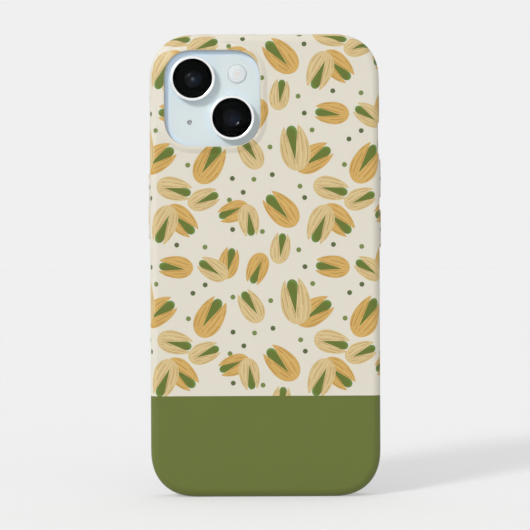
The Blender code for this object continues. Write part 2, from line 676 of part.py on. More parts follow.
def make_inner_parts():
    board_top = PARTS_LOW + 0.8 * MM
    on_board = board_top + BOND
    component("battery", (-31, 7.5), (-46, 39.5), black_plastic(), corner=1.5 * MM,
              edges=(0.3 * MM, 0.3 * MM))
    component("main_board", (9, 31.2), (-45, 59.5), board_green(), (PARTS_LOW, board_top))
    component("upper_board_shield", (9.8, 30.6), (13, 58.8), steel(), (on_board, PARTS_HIGH))
    component("lower_board_shield", (9.8, 30.6), (-44.2, -14), steel(), (on_board, PARTS_HIGH))
    component("battery_cable", (7.7, 13.5), (-13, -10.5), copper(), (on_board, on_board + 0.3 * MM), 0.3 * MM)
    component("haptic_motor", (-30, -9), (-67, -49), steel())
    component("loudspeaker", (9, 30), (-68.5, -49), black_plastic())
    component("port_board", (-7.5, 7.5), (-65.5, -49), board_green(), (PARTS_LOW, board_top))
    component("earpiece_speaker", (13, 26), (61, 69.5), black_plastic())


def make_charging_coil():
    """The flat charging coil, the ring of magnets round it and the bar magnet that sets the angle."""
    for name, (inner, outer), material in (("charging_coil", COIL_RADII, copper()),
                                           ("magnet_ring", MAGNET_RADII, steel())):
        section = [(inner, COIL[0]), (inner, COIL[1]), (outer, COIL[1]), (outer, COIL[0])]
        turned(name, section, COIL_CENTRE, True, material, steps=COIL_STEPS)
    slab("alignment_magnet", around(0.0, BAR_MAGNET_SIZE[0]), around(BAR_MAGNET_Y, BAR_MAGNET_SIZE[1]), COIL,
         material=steel())


def stand_up():
    """Turns the whole onto its bottom edge, with the origin under its middle."""
    stand = bpy.data.objects.new("stand", None)
    part_collection.objects.link(stand)
    stand.location = (0.0, RING_TOP / 2, CASE_Y)
    stand.rotation_euler = (math.radians(90), 0.0, 0.0)
    for collection in (part_collection, cutter_collection):
        for item in collection.objects:
            if item != stand:
                item.parent = stand


def build():
    global part_collection, cutter_collection
    clear_scene()
    part_collection = add_collection("smartphone_in_case")
    cutter_collection = add_collection("cutters")
    make_case()
    make_frame()
    make_antenna_bands()
    make_screen()
    make_front_sensors()
    make_back_glass()
    make_lens("upper", UPPER_LENS)
    make_lens("lower", LOWER_LENS)
    make_flash_and_microphone()
    for name, side, (place, length) in (("side_button", -1, SIDE_BUTTON), ("volume_up", 1, VOLUME_UP),
                                        ("volume_down", 1, VOLUME_DOWN)):
        make_cover(name + "_cover", side, place, length)
        make_button(name if side < 0 else name + "_button", side, place, length)
    make_switch_strip("side_switch_strip", -1, SIDE_BUTTON[0] - 8 * MM, SIDE_BUTTON[0] + 8 * MM)
    make_switch_strip("volume_switch_strip", 1, VOLUME_DOWN[0] - 5 * MM, VOLUME_UP[0] + 5 * MM)
    make_ring_switch()
    make_sim_tray()
    make_charging_port()
    make_bottom_screws()
    make_sound_meshes()
    make_inner_parts()
    make_charging_coil()
    for item in part_collection.objects:
        item.data.shade_smooth()
        item.data.set_sharp_from_angle(angle=math.radians(SMOOTH_BELOW))
    stand_up()


build()
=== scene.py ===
"""The looks of a smartphone in its printed case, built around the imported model."""

import json
import math

import bmesh
import bpy
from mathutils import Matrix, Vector


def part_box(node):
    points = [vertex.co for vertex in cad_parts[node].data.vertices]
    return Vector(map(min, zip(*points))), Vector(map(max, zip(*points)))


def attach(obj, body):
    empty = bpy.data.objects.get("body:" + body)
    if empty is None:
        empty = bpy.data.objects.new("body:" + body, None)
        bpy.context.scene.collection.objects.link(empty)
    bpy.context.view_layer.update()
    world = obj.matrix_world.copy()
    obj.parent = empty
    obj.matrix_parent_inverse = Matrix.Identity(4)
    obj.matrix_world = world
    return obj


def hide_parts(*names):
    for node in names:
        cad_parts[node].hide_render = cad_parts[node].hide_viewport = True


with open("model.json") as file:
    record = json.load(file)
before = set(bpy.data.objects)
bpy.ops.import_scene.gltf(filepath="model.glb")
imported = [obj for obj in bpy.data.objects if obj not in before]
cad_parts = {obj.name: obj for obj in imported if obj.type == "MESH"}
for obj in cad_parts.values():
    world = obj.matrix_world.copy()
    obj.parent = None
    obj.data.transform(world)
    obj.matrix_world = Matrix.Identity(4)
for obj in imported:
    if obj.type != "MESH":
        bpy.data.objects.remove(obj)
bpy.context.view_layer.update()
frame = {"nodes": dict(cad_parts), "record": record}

MM = 0.001

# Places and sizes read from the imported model.
CASE_LOW, CASE_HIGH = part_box("case_shell")
PHONE_LOW, PHONE_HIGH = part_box("frame")
GLASS_LOW, GLASS_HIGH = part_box("back_glass")
SCREEN_LOW, SCREEN_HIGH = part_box("cover_glass")
RING_LOW, RING_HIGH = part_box("upper_lens_ring")
RING_RADIUS = (RING_HIGH.x - RING_LOW.x) / 2
HALF_CASE = CASE_HIGH.x
HALF_PHONE = PHONE_HIGH.x
MIDDLE_Z = (CASE_LOW.z + CASE_HIGH.z) / 2
MIDDLE_Y = (PHONE_LOW.y + PHONE_HIGH.y) / 2
CASE_FRONT = CASE_HIGH.y
RIM_HEIGHT = 0.7 * MM
CASE_BACK = CASE_LOW.y + RIM_HEIGHT
ISLAND_TOP = GLASS_LOW.y
PHONE_BACK = PHONE_LOW.y


def middle_of(node):
    """The middle of a CAD node's box."""
    low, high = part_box(node)
    return (low + high) / 2


UPPER_LENS = middle_of("upper_lens_ring")
LOWER_LENS = middle_of("lower_lens_ring")
FLASH = middle_of("flash_lens")
MICROPHONE = middle_of("rear_microphone")
ISLAND = (UPPER_LENS + LOWER_LENS) / 2

# Shapes in general: how far cutters run past what they cut, how deep joined pieces overlap, and
# how sharp an edge is, in degrees, before it is left crisp.
OVERSHOOT = 1.0 * MM
JOIN_DEPTH = 0.3 * MM
SMOOTH_BELOW = 32.0

# Corners that ease into their sides: the power of their curve, and how much larger they start.
SOFT_CORNER = 2.35
CORNER_EASING = 1.0 + 0.36 * (SOFT_CORNER - 2.0)

# The case: its outline, edges, and the room for the phone.
CASE_CORNER = 13.9 * MM
PHONE_CORNER = 12.4 * MM
CLEARANCE = 0.3 * MM
FRONT_EDGE = 0.9 * MM
BACK_EDGE = 2.8 * MM
CAVITY_EDGE = 1.0 * MM
MOUTH_EDGE = 0.3 * MM
LIP_OVERLAP = 1.0 * MM
LIP_GAP = 0.25 * MM

# The camera window and the raised rim round it.
WINDOW_HALF = 15.6 * MM
WINDOW_CORNER = 8.6 * MM
WINDOW_EDGE = 0.3 * MM
RIM_WIDTH = 2.6 * MM
RIM_TOE = 0.02 * MM
RIM_FOOT = 0.1 * MM
RIM_LAND = 0.4 * MM
RIM_STEPS = 8
RIM_EASING = 1.4

# The ring switch, its notch in the case, and the button covers with their slots and pockets.
NOTCH_HALF = (3.88 * MM, 5.4 * MM)
NOTCH_OFFSET = 1.08 * MM
NOTCH_CORNER = 1.8 * MM
NOTCH_EDGE = 0.4 * MM
SWITCH_CORNER = 0.7 * MM
SWITCH_EDGE = 0.3 * MM
PLATE_OVER = 0.7 * MM
PLATE_DEPTH = 0.4 * MM
PLATE_CORNER = 0.2 * MM
COVER_LIP = 0.65 * MM
COVER_EDGE = 0.45 * MM
LIP_DEPTH = 0.4 * MM
LIP_BEVEL = 0.05 * MM
SLOT_EDGE = 0.2 * MM
POCKET_DEPTH = 1.2 * MM

# Windows in the case's bottom wall, in millimetres: where each one's middle is, and half its size.
BOTTOM_WINDOWS = ((0.0, 6.7, 3.2), (-19.8, 7.3, 1.7), (19.8, 7.3, 1.7))

# The back glass, the camera island and its holes, and the widths of the painted shade at the island's edge
# and round the camera rings.
GLASS_INSET = 1.35 * MM
GLASS_EDGE = 0.25 * MM
ISLAND_HALF = 15.57 * MM
ISLAND_CORNER = 8.57 * MM
ISLAND_EDGE = 0.12 * MM
PAINTED_EDGE_SHADE_WIDTH = 2.2 * MM
PAINTED_RING_SHADE_WIDTH = 3.0 * MM
LENS_HOLE = 6.8 * MM
FLASH_HOLE = 2.98 * MM
MICROPHONE_HOLE = 0.8 * MM

# The cameras. The barrel's steps are in millimetres: (radius, depth).
BOND = 0.15 * MM
RING_SEAT = 2.1 * MM
RING_BORE = 6.40 * MM
RING_NECK = 6.7 * MM
RING_FOOT = 5.9 * MM
RING_EDGE = 0.32 * MM
RING_STEPS = 6
BARREL_DEPTH = 1.6 * MM
BARREL_RADIUS = 5.8 * MM
BARREL_FLOOR_RADIUS = 2.9 * MM
BARREL_STEPS = ((5.8, 0.0), (5.1, 0.0), (5.0, 0.08), (5.0, 0.35), (4.5, 0.38), (4.35, 0.45), (4.35, 0.75),
                (3.75, 0.8), (3.6, 0.9), (3.6, 1.15), (3.1, 1.2), (2.9, 1.3))
LENS_RADIUS = 2.85 * MM
LENS_SETBACK = 0.62 * MM
LENS_STEPS = 12
UPPER_BULGE = 0.85 * MM
LOWER_BULGE = -0.6 * MM

# The flash.
FLASH_PROUD = 0.15 * MM
FLASH_DROP = 0.28 * MM
FLASH_RIPPLE = 0.05 * MM
FLASH_RINGS = 5
FLASH_STEPS = 48

# The screen: its edge, earpiece slot, black border, and sensor pill with half its length and its radius.
SCREEN_EDGE = 0.3 * MM
EARPIECE_HALF = 6.0 * MM
EARPIECE_ROOM = 0.2 * MM
EARPIECE_CORNER = 0.3 * MM
SCREEN_BORDER = 2.6 * MM
SCREEN_CORNER = 10.0 * MM
SENSOR_PILL = (7.2 * MM, 2.8 * MM)

# The print: one tile and its dots, in millimetres, and the olive band's height.
TILE = (51.0, 50.0)
DOT_RADIUS = 0.8
BAND_TOP = 33.0 * MM

# One nut in its own measure, where the ends are near -1 and 1 along it and the sides at -1 and 1
# across it: its width as a share of its length, its outline, its split, its kernel's cap and its lines.
NUT_WIDTH = 0.65
NUT_WIDEST = -0.14
NUT_FRONT = 1.27
NUT_END = 0.86
NUT_TIP = 0.42
SPLIT_POINT = (-0.55, 0.13)
SPLIT_SLOPES = (0.38, 0.21)
CAP_CENTRE = (0.72, 0.022)
CAP_RADIUS = 0.355
CAP_SHINE_RADIUS = 0.32
LINE_HALF_WIDTH = 0.085
LINE_REACH = (-0.70, 0.66)

# Camera and light.
CAMERA_DISTANCE = 0.6
CAMERA_ROLL = 0.25
CAMERA_RISE = 0.1 * MM
VIEW_WIDTH = 173.3 * MM
SENSOR_WIDTH = 36.0
SUN_FROM = Vector((-0.52, -0.693, 0.5))
SUN_ANGLE = 14.0
SUN_STRENGTH = 1.85
CORE_ANGLE = 6.0
CORE_STRENGTH = 0.36
SKY = 0.871
FLOOR_COLOUR = 0.42
FLOOR_GLOW = 0.357

# How strongly the printed back is lit, and the share of what it shows that is gloss and not paint.
LIT = SKY - (SUN_STRENGTH + CORE_STRENGTH) * SUN_FROM.y / math.pi
SHEEN = 0.02
DARKEST = 0.002


# ---------------------------------------------------------------- shader maths


class Field:
    """A value inside a node tree, so that shader maths reads like ordinary maths."""

    def __init__(self, shader, socket):
        self.shader = shader
        self.socket = socket

    def __add__(self, other):
        return self.shader.maths("ADD", self, other)

    def __radd__(self, other):
        return self.shader.maths("ADD", other, self)

    def __sub__(self, other):
        return self.shader.maths("SUBTRACT", self, other)

    def __rsub__(self, other):
        return self.shader.maths("SUBTRACT", other, self)

    def __mul__(self, other):
        return self.shader.maths("MULTIPLY", self, other)

    def __rmul__(self, other):
        return self.shader.maths("MULTIPLY", other, self)

    def __truediv__(self, other):
        return self.shader.maths("DIVIDE", self, other)

    def __lt__(self, other):
        return self.shader.maths("LESS_THAN", self, other)

    def __gt__(self, other):
        return self.shader.maths("GREATER_THAN", self, other)

    def __and__(self, other):
        return self.shader.maths("MULTIPLY", self, other)

    def __or__(self, other):
        return self.shader.maths("MAXIMUM", self, other)

    def __abs__(self):
        return self.shader.maths("ABSOLUTE", self)

    def inverted(self):
        return 1.0 - self

    def root(self):
        return self.shader.maths("SQRT", self)

    def sine(self):
        return self.shader.maths("SINE", self)

    def whole(self):
        return self.shader.maths("FLOOR", self)

    def part(self):
        return self.shader.maths("FRACT", self)

    def at_least(self, other):
        return self.shader.maths("MAXIMUM", self, other)

    def at_most(self, other):
        return self.shader.maths("MINIMUM", self, other)


class Shader:
    """Adds nodes to a tree and wires them up."""

    def __init__(self, tree):
        self.tree = tree

    def node(self, kind, **settings):
        made = self.tree.nodes.new(kind)
        for name, value in settings.items():
            setattr(made, name, value)
        return made

    def put(self, socket, value):
        if isinstance(value, Field):
            self.tree.links.new(value.socket, socket)
        elif isinstance(value, (tuple, list)) and socket.type == "RGBA":
            socket.default_value = (*value[:3], 1.0)
        else:
            socket.default_value = value

    def maths(self, operation, *values):
        made = self.node("ShaderNodeMath", operation=operation)
        for socket, value in zip(made.inputs, values):
            self.put(socket, value)
        return Field(self, made.outputs[0])

    def vector(self, operation, *values, output="Vector"):
        made = self.node("ShaderNodeVectorMath", operation=operation)
        for socket, value in zip(made.inputs, values):
            self.put(socket, value)
        return Field(self, made.outputs[output])

    def split(self, vector):
        made = self.node("ShaderNodeSeparateXYZ")
        self.put(made.inputs[0], vector)
        return [Field(self, output) for output in made.outputs]

    def joined(self, x, y):
        made = self.node("ShaderNodeCombineXYZ")
        for socket, value in zip(made.inputs, (x, y)):
            self.put(socket, value)
        return Field(self, made.outputs[0])

    def mix(self, factor, low, high, kind="FLOAT"):
        made = self.node("ShaderNodeMix", data_type=kind)
        first = {"FLOAT": 2, "VECTOR": 4, "RGBA": 6}[kind]
        outputs = {"FLOAT": 0, "VECTOR": 1, "RGBA": 2}
        self.put(made.inputs[0], factor)
        self.put(made.inputs[first], low)
        self.put(made.inputs[first + 1], high)
        return Field(self, made.outputs[outputs[kind]])

    def mix_vector(self, factor, low, high):
        return self.mix(factor, low, high, "VECTOR")

    def mix_colour(self, factor, low, high):
        return self.mix(factor, low, high, "RGBA")

    def noise(self, place, scale, detail=2.0):
        made = self.node("ShaderNodeTexNoise")
        self.put(made.inputs["Vector"], place)
        made.inputs["Scale"].default_value = scale
        made.inputs["Detail"].default_value = detail
        return Field(self, made.outputs[0])

    def cells(self, place, scale):
        """How far a place is from the middle of its cell, for cells scattered at random."""
        made = self.node("ShaderNodeTexVoronoi")
        self.put(made.inputs["Vector"], place)
        made.inputs["Scale"].default_value = scale
        return Field(self, made.outputs["Distance"])

    def length(self, *parts):
        """The length of a vector, given whole or as its parts."""
        vector = parts[0] if len(parts) == 1 else self.joined(*parts)
        return self.vector("LENGTH", vector, output="Value")

    def radius(self, place, centre):
        """How far a place is from an axis that runs along Y through a centre."""
        away = self.vector("SUBTRACT", place, tuple(centre))
        return self.length(self.vector("MULTIPLY", away, (1.0, 0.0, 1.0)))

    def place(self):
        """Where the surface is at rest, in metres."""
        return Field(self, self.node("ShaderNodeTexCoord").outputs["Object"])

    def facing(self):
        """Which way the surface faces at rest."""
        return Field(self, self.node("ShaderNodeTexCoord").outputs["Normal"])

    def bump(self, height, strength, distance):
        made = self.node("ShaderNodeBump")
        made.inputs["Strength"].default_value = strength
        made.inputs["Distance"].default_value = distance
        self.put(made.inputs["Height"], height)
        return Field(self, made.outputs[0])

    def paint(self, **values):
        """Puts values on the Principled node's sockets. A socket's name has _ for each space."""
        surface = self.tree.nodes["Principled BSDF"]
        for socket, value in values.items():
            self.put(surface.inputs[socket.replace("_", " ")], value)


def new_material(name, **values):
    """A Principled material, with values on its own sockets."""
    material = bpy.data.materials.new(name)
    material.use_nodes = True
    shader = Shader(material.node_tree)
    shader.paint(**values)
    return material, shader


def linear(level):
    """The share of light that a screen level from 0 to 255 stands for."""
    level /= 255.0
    return level / 12.92 if level <= 0.04045 else ((level + 0.055) / 1.055) ** 2.4


def seen(red, green, blue):
    """The paint that looks like this screen colour where the main light falls on it."""
    return tuple(max(linear(level) - SHEEN, DARKEST) / LIT for level in (red, green, blue))


# ---------------------------------------------------------------- the printed pattern

CREAM = seen(228, 223, 209)
CREAM_SHADE = seen(222, 216, 201)
OLIVE = seen(107, 118, 59)
TAN = seen(213, 188, 135)
TAN_LIGHT = seen(224, 202, 154)
TAN_LINE = seen(183, 146, 88)
OCHRE = seen(209, 169, 95)
OCHRE_LIGHT = seen(219, 182, 112)
OCHRE_LINE = seen(170, 125, 60)
KERNEL = seen(104, 119, 54)
KERNEL_LIGHT = seen(108, 140, 66)
DOT = seen(121, 138, 77)
DARK_DOT = seen(92, 104, 66)

# Single nuts: place in the tile, the way the split end points in degrees, length, and tone.
SINGLES = (
    (33.0, 8.5, 60, 14.0, "ochre"),
    (46.5, 12.0, 120, 11.5, "tan"),
    (22.0, 25.0, 175, 11.2, "ochre"),
    (5.0, 31.0, 80, 10.2, "tan"),
    (5.5, 43.5, 135, 13.6, "ochre"),
    (31.0, 47.0, 20, 10.6, "tan"),
    (48.5, 24.5, 250, 10.6, "ochre"),
    (21.5, 0.5, 345, 11.6, "tan"),
)

# Pairs that share their round ends: the shared place, the ways that the tan and ochre nuts point,
# and their lengths.
PAIRS = (
    (11.0, 7.5, 100, 30, 15.0, 13.2),
    (38.0, 22.0, 150, 75, 10.6, 10.4),
    (20.0, 44.0, 250, 315, 12.9, 12.4),
    (45.0, 44.5, 280, 200, 10.5, 10.4),
)

# Dots of two greens, each at its place in the tile.
DOTS = (
    (1.8, 14.0), (15.5, 19.5), (11.0, 30.5), (11.5, 1.2), (40.5, 15.2), (47.5, 3.5), (39.5, 46.8),
    (31.5, 31.5), (50.2, 36.5), (26.0, 8.2),
)
DARK_DOTS = (
    (2.5, 5.0), (13.0, 25.0), (13.0, 47.5), (27.5, 16.5), (40.5, 3.8), (44.0, 49.3), (31.5, 19.2),
    (40.5, 37.2), (22.3, 32.2),
)


def wrapped(shader, point, place):
    """The way from a place in the tile to the point, by the nearest copy of the tile."""
    half = (TILE[0] / 2, TILE[1] / 2, 1.0)
    apart = shader.vector("SUBTRACT", point, (place[0], place[1], 0.0))
    return shader.vector("WRAP", apart, half, tuple(-side for side in half))


def nut_field(shader, point, x, z, turn, length, tone, number):
    """The point in one nut's own measure: along it, across it, and the nut's tone and number."""
    seed = (2.0 if tone == "ochre" else 1.0) + number / 40.0
    turned = shader.node("ShaderNodeMapping", vector_type="TEXTURE")
    shader.put(turned.inputs["Vector"], wrapped(shader, point, (x, z)))
    shader.put(turned.inputs["Location"], (0.0, 0.0, -seed))
    shader.put(turned.inputs["Rotation"], (0.0, 0.0, math.radians(turn)))
    flip = -1.0 if number % 2 else 1.0
    shader.put(turned.inputs["Scale"], (length / 2, flip * length * NUT_WIDTH / 2, 1.0))
    own = Field(shader, turned.outputs[0])
    along, across, _ = shader.split(own)
    return own, shader.length(egg_length(along), across)


def egg_length(along):
    """How far along the nut a point is, where 1 and -1 are its two ends."""
    ahead = (along - NUT_WIDEST).at_least(0.0)
    behind = (along - NUT_WIDEST).at_most(0.0)
    return ahead * (1 / NUT_FRONT) + behind * (1 / NUT_END)


def all_nuts():
    """Every nut of the tile, and whether it lies over its neighbour."""
    nuts = [(*single, False) for single in SINGLES]
    for x, z, tan_turn, ochre_turn, tan_length, ochre_length in PAIRS:
        for turn, length, tone in ((tan_turn, tan_length, "tan"), (ochre_turn, ochre_length, "ochre")):
            out = NUT_TIP * length
            angle = math.radians(turn)
            nuts.append((x + out * math.cos(angle), z + out * math.sin(angle), turn, length, tone,
                         tone == "tan"))
    return nuts


def nearest_nut(shader, point):
    """The point in the measure of the nut that it lies in or is nearest to."""
    best = best_distance = None
    for number, (x, z, turn, length, tone, in_front) in enumerate(all_nuts()):
        own, distance = nut_field(shader, point, x, z, turn, length, tone, number)
        if in_front:
            distance = distance - (distance < 1.0)
        if best is None:
            best, best_distance = own, distance
        else:
            best = shader.mix_vector(distance < best_distance, best, own)
            best_distance = best_distance.at_most(distance)
    return best


def draw_nut(shader, own, ground):
    """One split nut over the ground colour: two shell halves, fine lines, and the kernel between."""
    along, across, seed = shader.split(own)
    point_along, point_across = SPLIT_POINT
    left_slope, right_slope = SPLIT_SLOPES
    stretched = egg_length(along)
    edge = (1.0 - stretched * stretched).at_least(0.0).root()
    inside = (stretched * stretched + across * across) < 1.0
    opened = (along - point_along).at_least(0.0)
    left_line = point_across - opened * left_slope
    right_line = point_across + opened * right_slope
    split = (across > left_line) & (across < right_line)
    shell = inside & split.inverted()

    centre_line = point_across + opened * ((right_slope - left_slope) / 2)
    on_left = across < centre_line
    left_width = left_line + edge
    right_width = edge - right_line
    width = shader.mix(on_left, right_width, left_width).at_least(0.01)
    from_split = shader.mix(on_left, across - right_line, left_line - across) / width

    tone = seed > 1.99
    variation = seed.part()
    base = shader.mix_colour(tone, TAN, OCHRE)
    light = shader.mix_colour(tone, TAN_LIGHT, OCHRE_LIGHT)
    line_colour = shader.mix_colour(tone, TAN_LINE, OCHRE_LINE)
    strand = from_split * 2.9 + 0.15 + variation * 0.2
    pale = ((strand.part() < 0.42) & (along < 0.8)) * shader.mix(on_left, 0.45, 0.8)
    body = shader.mix_colour(pale, base, light)
    near_line = abs(strand.part() - 0.5) * width
    wobble = (along * 4.2 + strand.whole() * 2.1 + variation * 23.0).sine()
    line = (near_line < LINE_HALF_WIDTH) & (wobble > -0.45)
    line = line & (along > LINE_REACH[0]) & (along < LINE_REACH[1])
    body = shader.mix_colour(line * 0.8, body, line_colour)

    cap_along, cap_across = CAP_CENTRE
    cap_u = (along - cap_along) * (0.9 / NUT_WIDTH)
    cap_v = across - cap_across
    cap = (cap_u * cap_u + cap_v * cap_v) < CAP_RADIUS ** 2
    kernel = (split & (along > point_along) & (along < cap_along)) | cap
    shine_u = cap_u + 0.10
    shine_v = cap_v - 0.08
    shine = cap & ((shine_u * shine_u + shine_v * shine_v) < CAP_SHINE_RADIUS ** 2).inverted()
    green = shader.mix_colour(shine, KERNEL, KERNEL_LIGHT)

    colour = shader.mix_colour(shell, ground, body)
    return shader.mix_colour(kernel, colour, green)


def draw_dots(shader, point, dots, colour, ground):
    """Round dots of one colour over the ground colour."""
    nearest = None
    for place in dots:
        distance = shader.length(wrapped(shader, point, place))
        nearest = distance if nearest is None else nearest.at_most(distance)
    return shader.mix_colour(nearest < DOT_RADIUS, ground, colour)


def print_material():
    """Satin hard plastic, printed with split nuts and dots over cream and a plain olive band."""
    material, shader = new_material("printed_plastic", Specular_IOR_Level=0.3)
    place = shader.place()
    x, y, z = shader.split(place)
    out_x, _, out_z = shader.split(shader.facing())
    round_the_edge = (y - CASE_BACK).at_least(0.0)
    across = (x + out_x * round_the_edge) / MM
    up = (z + out_z * round_the_edge) / MM
    point = shader.joined(across, up)

    cloud = shader.noise(place, 60.0, 3.0)
    grain = shader.noise(place, 5200.0)
    ground = shader.mix_colour(cloud * 0.3, CREAM, CREAM_SHADE)
    ground = draw_dots(shader, point, DOTS, DOT, ground)
    ground = draw_dots(shader, point, DARK_DOTS, DARK_DOT, ground)
    picture = draw_nut(shader, nearest_nut(shader, point), ground)
    band = shader.mix_colour(cloud * 0.3, OLIVE, seen(101, 111, 55))
    colour = shader.mix_colour(z < BAND_TOP, picture, band)
    colour = shader.mix_colour(grain * 0.06, colour, seen(150, 140, 120))
    shader.paint(Base_Color=colour)
    shader.paint(Roughness=0.36 + shader.noise(place, 900.0) * 0.14)
    pebble = shader.noise(place, 2600.0)
    shader.paint(Normal=shader.bump(pebble, 0.25, 0.00004))
    return material


# ---------------------------------------------------------------- other materials


def mottled(name, first, second, scale, roughness, metallic=0.0, bump_scale=None, bump_strength=0.2,
            **values):
    """A material whose colour and roughness vary softly, with a fine bump."""
    material, shader = new_material(name, Metallic=metallic, **values)
    place = shader.place()
    cloud = shader.noise(place, scale, 4.0)
    shader.paint(Base_Color=shader.mix_colour(cloud, first, second))
    shader.paint(Roughness=roughness + shader.noise(place, scale * 6) * 0.10)
    if bump_scale:
        height = shader.noise(place, bump_scale)
        shader.paint(Normal=shader.bump(height, bump_strength, 0.00003))
    return material


def turned_metal(name, centre):
    """Polished metal with fine lathe marks round an axis that runs along Y."""
    material, shader = new_material(name, Metallic=1.0)
    place = shader.place()
    marks = shader.noise(shader.joined(shader.radius(place, centre), 0.0), 42000.0, 3.0)
    cloud = shader.noise(place, 700.0)
    shader.paint(Base_Color=shader.mix_colour(cloud, (0.93, 0.94, 0.95), (0.96, 0.97, 0.97)))
    shader.paint(Roughness=0.16 + marks * 0.12)
    shader.paint(Normal=shader.bump(marks, 0.12, 0.00001))
    return material


def back_glass():
    """Satin tinted glass, with painted shade and light: bluer round the camera rings, where their shadows
    fall; light blue at the island's upper-left edge, where the case wall's shadow falls; and a little paler
    at its lower-right edge, where the light falls.
    """
    material, shader = new_material("back_glass", Specular_IOR_Level=0.35)
    place = shader.place()
    cloud = shader.noise(place, 45.0, 3.0)
    x, _, z = shader.split(place)
    # Painted shade and light at the island's edge: light blue toward the upper left, where the case wall's
    # shadow falls on the island, and a little paler toward the lower right, where the light falls.
    edge_x = (abs(x - ISLAND.x) - ISLAND_HALF + ISLAND_CORNER).at_least(0.0)
    edge_z = (abs(z - ISLAND.z) - ISLAND_HALF + ISLAND_CORNER).at_least(0.0)
    reach = shader.length(edge_x, edge_z) - ISLAND_CORNER
    edge = ((reach + PAINTED_EDGE_SHADE_WIDTH) / PAINTED_EDGE_SHADE_WIDTH).at_least(0.0).at_most(1.0)
    flat = shader.mix_colour(cloud, seen(218, 229, 231), seen(221, 231, 233))
    towards_wall_shadow = ((z - ISLAND.z) - (x - ISLAND.x)) / (2.0 * ISLAND_HALF)
    painted_edge_shade = shader.mix_colour((towards_wall_shadow + 0.5).at_least(0.0).at_most(1.0), seen(220, 230, 234),
                                  (0.54, 0.70, 0.90))
    # Painted shade: bluer round each camera ring, where the rings' shadows fall on the island.
    painted_ring_shade = 0.0
    for lens in (UPPER_LENS, LOWER_LENS):
        away = shader.length(x - lens.x, z - lens.z)
        painted_ring_shade = (1.0 - (away - RING_RADIUS) / PAINTED_RING_SHADE_WIDTH).at_most(1.0).at_least(painted_ring_shade)
    with_ring_shade = shader.mix_colour(painted_ring_shade, flat, (0.500, 0.595, 0.635))
    shader.paint(Base_Color=shader.mix_colour(edge, with_ring_shade, painted_edge_shade))
    shader.paint(Roughness=0.30 + cloud * 0.06)
    grain = shader.noise(place, 3000.0)
    shader.paint(Normal=shader.bump(grain, 0.06, 0.00002))
    return material


def woven_steel():
    """Fine wire cloth, as over a speaker or a microphone."""
    material, shader = new_material("woven_steel", Metallic=1.0)
    place = shader.place()
    x, y, z = shader.split(place)
    weave = (x * 31000.0).sine() * ((y + z) * 31000.0).sine()
    holes = weave > 0.35
    shader.paint(Base_Color=shader.mix_colour(holes, (0.34, 0.35, 0.36), (0.02, 0.02, 0.02)))
    shader.paint(Roughness=0.35 + holes * 0.4)
    shader.paint(Normal=shader.bump(weave, 0.4, 0.00005))
    return material


def circuit_board():
    """A green board with fine tracks and gilt pads."""
    material, shader = new_material("circuit_board")
    place = shader.place()
    tracks = shader.cells(place, 900.0)
    lines = abs(tracks - 0.35) < 0.05
    pads = tracks < 0.08
    colour = shader.mix_colour(lines, (0.012, 0.075, 0.035), (0.03, 0.16, 0.07))
    shader.paint(Base_Color=shader.mix_colour(pads, colour, (0.70, 0.52, 0.22)))
    shader.paint(Roughness=0.35 + pads * 0.1 + shader.noise(place, 800.0) * 0.1)
    shader.paint(Normal=shader.bump(tracks, 0.2, 0.00006))
    return material


def wound_copper(centre):
    """Flat copper winding: fine turns round the coil's middle."""
    material, shader = new_material("wound_copper", Metallic=1.0)
    place = shader.place()
    turns = (shader.radius(place, centre) * 9000.0).sine()
    cloud = shader.noise(place, 300.0, 3.0)
    shader.paint(Base_Color=shader.mix_colour(cloud, (0.72, 0.34, 0.18), (0.60, 0.26, 0.12)))
    shader.paint(Roughness=0.30 + cloud * 0.1)
    shader.paint(Normal=shader.bump(turns, 0.5, 0.00008))
    return material


def screen_material():
    """The front: coated glass over a dark display, a black border, and the sensor pill."""
    material, shader = new_material("screen_glass", IOR=1.36)
    place = shader.place()
    x, _, z = shader.split(place)
    reach_x = SCREEN_HIGH.x - SCREEN_BORDER - SCREEN_CORNER
    reach_z = SCREEN_HIGH.z - MIDDLE_Z - SCREEN_BORDER - SCREEN_CORNER
    out_x = (abs(x) - reach_x).at_least(0.0)
    out_z = (abs(z - MIDDLE_Z) - reach_z).at_least(0.0)
    black = shader.length(out_x, out_z) > SCREEN_CORNER
    camera = middle_of("front_camera")
    pill_half, pill_radius = SENSOR_PILL
    past = (abs(x) - pill_half).at_least(0.0)
    pill = shader.length(past, z - camera.z) < pill_radius
    eye = shader.length(x - camera.x, z - camera.z)
    pixels = (x * 42000.0).sine() * (z * 42000.0).sine()
    display = shader.mix_colour(pixels * 0.5 + 0.5, (0.0085, 0.0090, 0.0110), (0.0110, 0.0115, 0.0135))
    colour = shader.mix_colour(black | pill, display, (0.0012, 0.0012, 0.0014))
    colour = shader.mix_colour(eye < 1.9 * MM, colour, (0.010, 0.011, 0.014))
    colour = shader.mix_colour(eye < 1.3 * MM, colour, (0.003, 0.005, 0.014))
    shader.paint(Base_Color=colour)
    shader.paint(Roughness=0.02 + shader.noise(place, 40.0) * 0.03)
    return material


def clear_glass():
    """The coated cover glass over a camera."""
    material, shader = new_material("camera_cover_glass", Roughness=0.0, IOR=1.10, Transmission_Weight=1.0)
    place = shader.place()
    cloud = shader.noise(place, 90.0)
    shader.paint(Base_Color=shader.mix_colour(cloud, (0.93, 0.95, 1.0), (0.97, 0.98, 1.0)))
    return material


